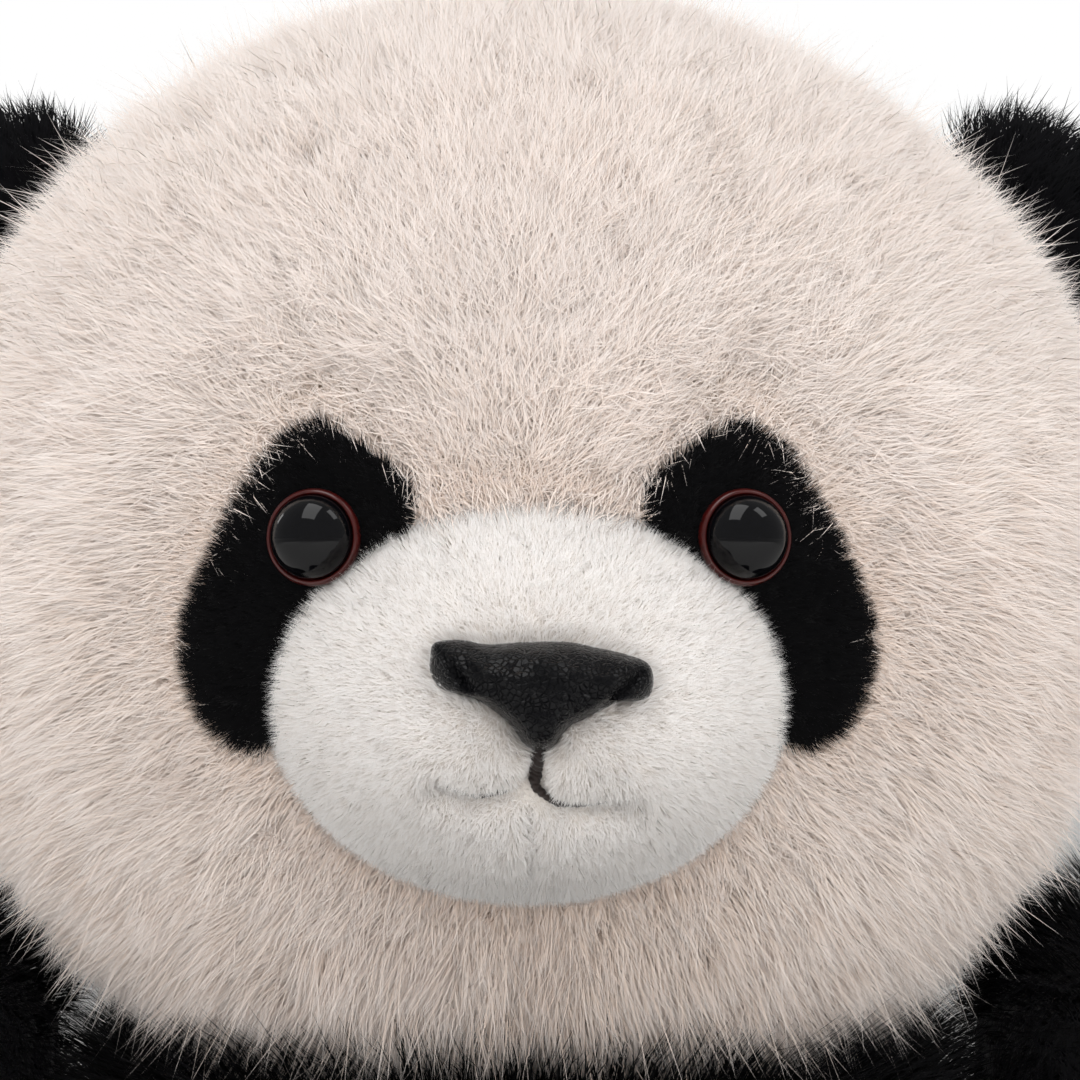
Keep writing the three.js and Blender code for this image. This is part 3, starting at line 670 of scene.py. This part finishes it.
at, out = scatter(*muzzle_skin, 27, rng)
across, up = at[:, 0] - MUZZLE[0], at[:, 2] - MUZZLE[2]
stitched = from_line(across, up, MOUTH)
stem_far = from_line(across, up, STEM + np.array([[0, 2 * MM], [0, 0], [0, 0]]))
nose_far = nearness(nose_tree, at, 4 * MM)
clear = ((stitched > 0.35 * MM) | (abs(across) > 7.5 * MM)) & (stem_far > 0.9 * MM)
at, out, stitched, nose_far, stem_far = (each[clear] for each in (at, out, stitched, nose_far, stem_far))
rim_near = soft_step(at[:, 1], -84 * MM, -68 * MM)
nose_near = 1 - soft_step(nose_far, 0.6 * MM, 2.2 * MM)
reach = (2.0 + 1.2 * rim_near + 1.1 * nose_near - 0.5 * (stitched < 1.4 * MM)) * MM
reach *= 0.3 + 0.7 * soft_step(stem_far, 1 * MM, 3.2 * MM)
# painted shade: fibres near the back rim, where the muzzle meets the head, turn tan
nap = fibres("muzzle_cover_pile", "head", at, out, at - NOSE, rng, muzzle_pile, reach, 0.15 * MM,
             0.8 - 0.3 * rim_near - 0.55 * nose_near, clump=(1.2, 0.2), stray=0.8,
             tan_and_shade=0.25 * rim_near, bends=False)

# ---- Ears ----
# Two half rounds of black long-pile cloth to each ear, sewn together round the edge and to the head
# along its seam. Nothing fills them, so each one folds at that seam.

rng = np.random.default_rng(14)
long_black = pile_finish("long_black_pile", dye(2, 2, 4), dye(4, 4, 7), dye(12, 12, 16), dye(7, 7, 8), 0.03)
for side, sign in (("left", 1), ("right", -1)):
    ear = baked(remeshed("ear_form", [f"ear_front_{side}", f"ear_back_{side}"], 0.9 * MM, 5))
    points, triangles = surface(ear)
    bpy.data.objects.remove(ear)
    middle = points[triangles].mean(1)
    seam = (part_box(f"ear_front_{side}")[1].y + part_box(f"ear_back_{side}")[0].y) / 2
    halves = ((f"ear_front_{side}", middle[:, 1] < seam), (f"ear_back_{side}", middle[:, 1] >= seam))
    for half, mask in halves:
        cloth = piece(half + "_cloth", *kept(points, triangles, mask), black_backing, f"ear_{side}")
        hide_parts(half)
        at, out = scatter(*kept(points, triangles, mask), 6.5, rng)
        free = (((at - HEAD) / HEAD_HALF) ** 2).sum(1) > 1.0
        at, out = at[free], out[free]
        root = HEAD + np.array([sign * 0.86, 0, 0.51]) * 74 * MM
        flow = unit(at - root) + np.array([sign * 0.3, 0, 0.25])
        reach = np.full(len(at), 6.5 * MM)
        pile = fibres(half + "_pile", f"ear_{side}", at, out, flow, rng, long_black, reach, 0.19 * MM, 0.7,
                      clump=(3.0, 0.35), stray=0.5, wild=0.04)

# ---- Stuffing and pellet bag ----
# Polyester fibrefill packed in lumpy handfuls inside every cover, and a cloth bag of plastic pellets
# low in the body that makes it sit steadily.

fill_white, shader, at = finish_of("fibrefill", Roughness=0.9, Sheen_Weight=0.3, Sheen_Roughness=0.5)
drive(shader, Base_Color=at.noise(300, 4).blend(dye(214, 214, 210), dye(244, 244, 242)),
      Bump=at.noise(900, 4) * 0.8)
bag_cloth, shader, at = finish_of("pellet_bag_cloth", Roughness=0.9, Sheen_Weight=0.2, Sheen_Roughness=0.5)
threads = {"Vector": at, "Scale": 300.0, "Distortion": 0.6}
warp, weft = (at.node("ShaderNodeTexWave", {"bands_direction": way}, threads) for way in "XZ")
drive(shader, Base_Color=at.noise(220, 3).blend(dye(196, 188, 170), dye(224, 217, 203)),
      Bump=(warp * weft) * 0.2)


def lumpy(node, pattern, lump, depth, material, body, voxel):
    """A filling: the CAD solid with lumps pressed into its surface."""
    form = remeshed(f"{node}_fill", [node], voxel, 4)
    texture = bpy.data.textures.new(f"{node}_lumps", pattern)
    texture.noise_scale = lump
    press = form.modifiers.new("lumps", "DISPLACE")
    press.texture, press.texture_coords = texture, "LOCAL"
    press.strength, press.mid_level = depth, 1.3
    made = dressed(baked(form), material, body)
    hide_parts(node)
    return made


FILLINGS = {"head_stuffing": "head", "muzzle_stuffing": "head", "torso_stuffing": "torso",
            "arm_stuffing_left": "arm_left", "arm_stuffing_right": "arm_right",
            "leg_stuffing_left": "leg_left", "leg_stuffing_right": "leg_right"}
for node, body in FILLINGS.items():
    lumpy(node, "CLOUDS", 9 * MM, 2.5 * MM, fill_white, body, 2.6 * MM)
lumpy("pellet_bag", "VORONOI", 4 * MM, 1.6 * MM, bag_cloth, "torso", 1.3 * MM)

# ---- Body cloth ----
# A stuffed body of five panels: a black yoke over the shoulders, and white belly, back halves and seat.
# The filling swells the cloth between its seams, which is worked out as cloth under pressure.

rng = np.random.default_rng(15)


def swollen(name, nodes, voxel, cap, low, high):
    """Cloth over a filling, blown up by no more than cap and kept inside low and high: its corners and
    triangles. The cloth's result is taken as plain corners, so no simulation stays on the piece."""
    form = baked(remeshed(name, nodes, voxel, 3))
    start, triangles = surface(form)
    outward = corner_normals(start, triangles)
    cloth = form.modifiers.new("cloth", "CLOTH")
    settings = cloth.settings
    settings.use_pressure, settings.uniform_pressure_force = True, 4.0
    settings.effector_weights.gravity = 0
    settings.quality = 4
    cloth.collision_settings.use_collision = False
    cloth.point_cache.frame_start, cloth.point_cache.frame_end = 1, 20
    for step in range(1, 21):
        bpy.context.scene.frame_set(step)
    held = bpy.data.meshes.new_from_object(form.evaluated_get(bpy.context.evaluated_depsgraph_get()))
    form.modifiers.clear()
    bpy.context.scene.frame_set(1)
    moved = np.zeros(len(held.vertices) * 3)
    held.vertices.foreach_get("co", moved)
    bpy.data.meshes.remove(held)
    push = moved.reshape(-1, 3) - start
    swell = (push * outward).sum(1, keepdims=True)
    slide = push - outward * swell
    far = np.linalg.norm(slide, axis=1, keepdims=True)
    slide *= np.minimum(1, 0.5 * cap / np.maximum(far, 1e-9))
    start = start + outward * swell.clip(0.6 * cap, cap) + slide
    form.data.vertices.foreach_set("co", start.ravel())
    form.data.update()
    even = form.modifiers.new("even", "SMOOTH")
    even.iterations, even.factor = 2, 0.5
    form.modifiers.new("fine", "SUBSURF").levels = 1
    points, triangles = surface(baked(form))
    bpy.data.objects.remove(form)
    return points.clip(low, high), triangles


def cut(points, triangles, *planes):
    """A surface with clean edges along planes, each a place and a direction."""
    made = bmesh.new()
    corners = [made.verts.new(p) for p in points]
    for triangle in triangles:
        made.faces.new([corners[i] for i in triangle])
    for place, direction in planes:
        everything = made.verts[:] + made.edges[:] + made.faces[:]
        bmesh.ops.bisect_plane(made, geom=everything, dist=0.00001, plane_co=place, plane_no=direction)
    bmesh.ops.triangulate(made, faces=made.faces[:])
    made.verts.index_update()
    points = np.array([v.co for v in made.verts])
    triangles = np.array([[v.index for v in f.verts] for f in made.faces])
    made.free()
    return points, triangles


def between(*nodes):
    """The lowest and highest corner of these nodes together."""
    corners = np.array([[list(c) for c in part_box(node)] for node in nodes])
    return corners[:, 0].min(0), corners[:, 1].max(0)


panels = ("torso_yoke", "torso_belly", "torso_back_left", "torso_back_right", "seat_panel")
low, high = between(*panels)
low, high = low + np.array([0.2, 0, 1.0]) * MM, high - np.array([0.2, 0, 0]) * MM
yoke_z, seat_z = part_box("torso_belly")[1].z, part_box("torso_belly")[0].z
skin = swollen("body_form", ["torso_stuffing", "pellet_bag"], 5 * MM, 3.2 * MM, low, high)
seams = [((0, 0, yoke_z), (0, 0, 1)), ((0, 0, seat_z), (0, 0, 1))]
seams += [((0, 0, 0), (0, 1, 0)), ((0, 0, 0), (1, 0, 0))]
torso_points, torso_faces = cut(*skin, *seams)
middle = torso_points[torso_faces].mean(1)
yoke, seat = middle[:, 2] > yoke_z, middle[:, 2] < seat_z
body_panels = {
    "torso_yoke": yoke,
    "seat_panel": seat,
    "torso_belly": ~yoke & ~seat & (middle[:, 1] < 0),
    "torso_back_left": ~yoke & ~seat & (middle[:, 1] >= 0) & (middle[:, 0] > 0),
    "torso_back_right": ~yoke & ~seat & (middle[:, 1] >= 0) & (middle[:, 0] <= 0),
}
BODY_PILE_WIDTH = 0.26 * MM
limb_tree = tree_of("arm_cover_left", "arm_cover_right", "leg_cover_left", "leg_cover_right", "tail")
for node, mask in body_panels.items():
    black = node == "torso_yoke"
    skin = kept(torso_points, torso_faces, mask)
    cloth = piece(node + "_cloth", *skin, black_backing if black else tan_backing, "torso")
    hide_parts(node)
    at, out = scatter(*skin, 2.6 if black else 1.8, rng)
    room = np.where(at[:, 2] > yoke_z + 26 * MM, 1.5, 3) * MM
    free = (nearness(limb_tree, at, 12 * MM) > room) & (out[:, 2] > -0.6)
    free &= (np.linalg.norm(at[:, :2], axis=1) > 32 * MM) | (at[:, 2] < 140 * MM)
    at, out = at[free], out[free]
    near = nearness(limb_tree, at, 12 * MM)
    shoulder = soft_step(at[:, 2], yoke_z + 24 * MM, yoke_z + 40 * MM)
    flow = np.array([0, 0, -1.0]) * (1 - shoulder)[:, None]
    flow += unit(at * [1, 1, 0]) * (0.35 + 0.4 * shoulder)[:, None]
    reach = (5 + 6.5 * soft_step(near, 3 * MM, 12 * MM) * (1 - shoulder) + 10 * shoulder) * MM
    reach *= 0.5 + 0.5 * soft_step(at[:, 2], 2 * MM, 14 * MM)
    pile = fibres(node + "_pile", "torso", at, out, flow, rng, long_black if black else white_pile, reach,
                  BODY_PILE_WIDTH, 0.85 - 0.55 * shoulder, clump=(5.5, 0.45), stray=0.4, wild=0.03)

# ---- Arms ----
# Black long-pile tubes closed in a round paw and softly stuffed. Each is sewn to the side of the yoke
# at its top, and swings from that seam.

rng = np.random.default_rng(16)
low, high = between("arm_cover_left")
low += np.array([0.1, 0, 0]) * MM
arm_skin = swollen("arm_form", ["arm_stuffing_left"], 4 * MM, 3.2 * MM, low, high)
shoulder_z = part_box("arm_cover_left")[1].z - 24 * MM


def mirrored(points, triangles, sign):
    return (points, triangles) if sign > 0 else (points * [-1, 1, 1], triangles[:, ::-1])


for side, sign in (("left", 1), ("right", -1)):
    points, triangles = mirrored(*arm_skin, sign)
    cloth = piece(f"arm_cover_{side}_cloth", points, triangles, black_backing, f"arm_{side}")
    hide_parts(f"arm_cover_{side}")
    at, out = scatter(points, triangles, 2.6, rng)
    inner = abs(at[:, 0]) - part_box("arm_cover_left")[0].x
    free = inner > 0.8 * MM
    at, out, inner = at[free], out[free], inner[free]
    top = soft_step(at[:, 2], shoulder_z + 2 * MM, shoulder_z + 18 * MM)
    flow = np.array([0, -0.5, -0.87]) * (1 - top)[:, None]
    flow += np.array([sign * 0.25, 0, 0]) * (1 - 3.2 * top)[:, None]
    reach = (4 + 7 * np.maximum(soft_step(inner, 1 * MM, 9 * MM), top)) * MM
    pile = fibres(f"arm_cover_{side}_pile", f"arm_{side}", at, out, flow, rng, long_black, reach, 0.24 * MM,
                  0.85 - 0.4 * top, clump=(5, 0.45), stray=0.4, wild=0.03)

# ---- Legs ----
# Black long-pile tubes that stick out in front, stuffed firmly and sewn to the body at the hip. A
# round sole of short black pile closes the end of each.

rng = np.random.default_rng(17)
low, high = between("leg_cover_left")
low = low + np.array([0, 0, 1.0]) * MM
leg_skin = swollen("leg_form", ["leg_stuffing_left"], 4 * MM, 3.2 * MM, low, high)
body_tree = BVHTree.FromPolygons(torso_points.tolist(), torso_faces.tolist())
for side, sign in (("left", 1), ("right", -1)):
    points, triangles = mirrored(*leg_skin, sign)
    cloth = piece(f"leg_cover_{side}_cloth", points, triangles, black_backing, f"leg_{side}")
    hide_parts(f"leg_cover_{side}")
    at, out = scatter(points, triangles, 1.9, rng)
    free = (at[:, 1] > low[1] + 1.5 * MM) & (nearness(body_tree, at, 12 * MM) > 5 * MM) & (out[:, 2] > -0.75)
    at, out = at[free], out[free]
    near = nearness(body_tree, at, 14 * MM)
    flow = np.tile(np.array([0, -0.85, -0.5]), (len(at), 1))
    reach = (4 + 6 * soft_step(near, 4 * MM, 14 * MM)) * MM
    pile = fibres(f"leg_cover_{side}_pile", f"leg_{side}", at, out, flow, rng, long_black, reach,
                  BODY_PILE_WIDTH, 0.85, clump=(5, 0.45), stray=0.4)
    sole = baked(remeshed(f"foot_sole_{side}_cloth", [f"foot_sole_{side}"], 0.9 * MM, 6))
    dressed(sole, black_backing, f"leg_{side}")
    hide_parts(f"foot_sole_{side}")
    points, triangles = surface(sole)
    normals = corner_normals(points, triangles)
    at, out = scatter(*kept(points, triangles, (normals[triangles][:, :, 1] < -0.2).all(1)), 14, rng)
    flow, reach = np.tile([0, 0, -1.0], (len(at), 1)), np.full(len(at), 2.4 * MM)
    nap = fibres(f"foot_sole_{side}_pile", f"leg_{side}", at, out, flow, rng, short_black, reach,
                 0.18 * MM, 0.6, clump=(1.6, 0.3), stray=0.6, bends=False)

# ---- Tail ----
# A small ball of white long-pile cloth, gathered over a wad of filling and sewn low on the back. It
# is fixed to the body.

rng = np.random.default_rng(18)
low, high = between("tail")
tail_skin = swollen("tail_form", ["tail"], 2.5 * MM, 1.0 * MM, low, high)
inside = (tail_skin[0] - (low + high) / 2) * 0.82 + (low + high) / 2
cloth = piece("tail_cloth", inside, tail_skin[1], tan_backing, "torso")
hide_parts("tail")
at, out = scatter(inside, tail_skin[1], 3.2, rng)
free = out[:, 1] > -0.55
at, out = at[free], out[free]
flow, reach = np.tile([0, 0.2, -1.0], (len(at), 1)), np.full(len(at), 9 * MM)
pile = fibres("tail_pile", "torso", at, out, flow, rng, white_pile, reach, 0.24 * MM, 0.7, clump=(4, 0.45),
              stray=0.45)

# ---- Sewn-in label ----
# A blank satin ribbon folded double, its two ends caught in the body's side seam. Nothing stiffens
# it, so it waves a little.

low, high = (np.array(c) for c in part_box("sewn_label"))
ribbon, shader, at = finish_of("label_satin", Roughness=0.45, Sheen_Weight=0.2, Sheen_Roughness=0.3)
threads = {"Vector": at, "Scale": 900.0, "Distortion": 0.5}
warp = at.node("ShaderNodeTexWave", {"bands_direction": "Z"}, threads)
drive(shader, Base_Color=at.noise(400, 3).blend(dye(236, 233, 226), dye(250, 249, 246)), Bump=warp * 0.05)
root, tip, half = high[0], low[0], 0.33 * MM
turn = np.linspace(-math.pi / 2, math.pi / 2, 9)
outline = [(x, -half) for x in np.linspace(root, tip + half, 18)]
outline += [(tip + half - half * math.cos(a), half * math.sin(a)) for a in turn]
outline += [(x, half) for x in np.linspace(tip + half, root, 18)]
outline = np.array(outline)
rows = np.linspace(low[2], high[2], 24)
wave = np.sin((outline[:, 0] - root) * 240) * 0.5 * MM * ((root - outline[:, 0]) / (root - tip))
points = np.array([[(x, y + w * math.cos((z - rows[0]) * 130), z) for (x, y), w in zip(outline, wave)]
                   for z in rows])
i, j = np.meshgrid(np.arange(len(rows) - 1), np.arange(len(outline) - 1), indexing="ij")
a = i * len(outline) + j
faces = np.stack([a, a + 1, a + 1 + len(outline), a + len(outline)], -1).reshape(-1, 4)
label = piece("sewn_label_ribbon", points.reshape(-1, 3), faces, ribbon, "torso")
thick = label.modifiers.new("thickness", "SOLIDIFY")
thick.thickness, thick.offset = 0.15 * MM, 0
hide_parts("sewn_label")

# ---- Stage, light and camera ----
# A pale floor with white cards all round. A soft box above the front lights the pile and the eyes,
# with a small one beside it and another behind on the left. Three wide fills lift the shadows.

white_card, shader, at = finish_of("white_card", Roughness=1.0, Emission_Strength=1.0)
drive(shader, Emission_Color=at.noise(0.2, 0).blend(dye(254, 254, 254), dye(255, 255, 255)))
shader.inputs["Base Color"].default_value = (0, 0, 0, 1)
floor_paint, shader, at = finish_of("pale_floor", Roughness=0.9)
drive(shader, Base_Color=at.noise(3, 2).blend(dye(228, 227, 225), dye(234, 233, 231)))


def board(name, corners, material):
    mesh = bpy.data.meshes.new(name)
    mesh.from_pydata(corners, [], [range(len(corners))])
    mesh.materials.append(material)
    made = bpy.data.objects.new(name, mesh)
    bpy.context.scene.collection.objects.link(made)
    return made


board("floor", [(-9, -9, 0), (9, -9, 0), (9, 9, 0), (-9, 9, 0)], floor_paint)
CARD_AWAY, CARD_LOW, CARD_TALL = 6, 0.001, 3.5
corners = [(-CARD_AWAY, -CARD_AWAY), (-CARD_AWAY, CARD_AWAY), (CARD_AWAY, CARD_AWAY), (CARD_AWAY, -CARD_AWAY)]
cards = {}
for name, a, b in zip(("left", "back", "right", "front"), corners, corners[1:] + corners[:1]):
    upright_corners = [(*a, CARD_LOW), (*b, CARD_LOW), (*b, CARD_TALL), (*a, CARD_TALL)]
    cards[name] = board(f"{name}_card", upright_corners, white_card)
for name in ("left", "right", "front"):
    cards[name].visible_glossy = False
cards["front"].visible_diffuse = cards["front"].visible_shadow = False


def soft_box(name, at, aim, width, height, watts):
    data = bpy.data.lights.new(name, "AREA")
    data.shape, data.size, data.size_y, data.energy = "RECTANGLE", width, height, watts
    made = bpy.data.objects.new(name, data)
    bpy.context.scene.collection.objects.link(made)
    made.location = at
    made.rotation_euler = (Vector(aim) - Vector(at)).to_track_quat("-Z", "Y").to_euler()
    return made


face = (0, -0.05, 0.21)
soft_box("top_box", (-0.2, -0.46, 1.28), face, 0.62, 1.0, 5.0)
soft_box("small_box", (0.72, -0.3, 1.2), face, 0.34, 0.5, 1.4)
soft_box("back_left_box", (-0.95, 0.6, 0.75), face, 0.4, 0.3, 1.5)
FILLS = {"front_fill": ((0.1, -1.25, 0.75), 7.5), "right_fill": ((1.15, -0.85, 0.4), 5),
         "left_fill": ((-1.25, -0.7, 0.4), 5)}
for name, (at, watts) in FILLS.items():
    wide = soft_box(name, at, face, 1.1, 0.8, watts)
    wide.visible_glossy = False

world = bpy.data.worlds.new("studio")
bpy.context.scene.world = world
world.use_nodes = True
air = world.node_tree.nodes["Background"]
air.inputs["Color"].default_value = (1, 1, 1, 1)
air.inputs["Strength"].default_value = 0.34
bpy.context.scene.view_settings.view_transform = "Standard"
bpy.context.scene.view_settings.look = "None"
lens = bpy.data.cameras.new("camera")
lens.lens, lens.sensor_width = 186.6, 36
camera = bpy.data.objects.new("camera", lens)
bpy.context.scene.collection.objects.link(camera)
turned = math.radians(1.2)  # the face looks a little past the camera
away, off = 750 * MM, 2.7 * MM
camera.location = (off - away * math.sin(turned), HEAD[1] - away * math.cos(turned), HEAD[2] + off)
camera.rotation_euler = (math.pi / 2, 0, -turned)
bpy.context.scene.camera = camera
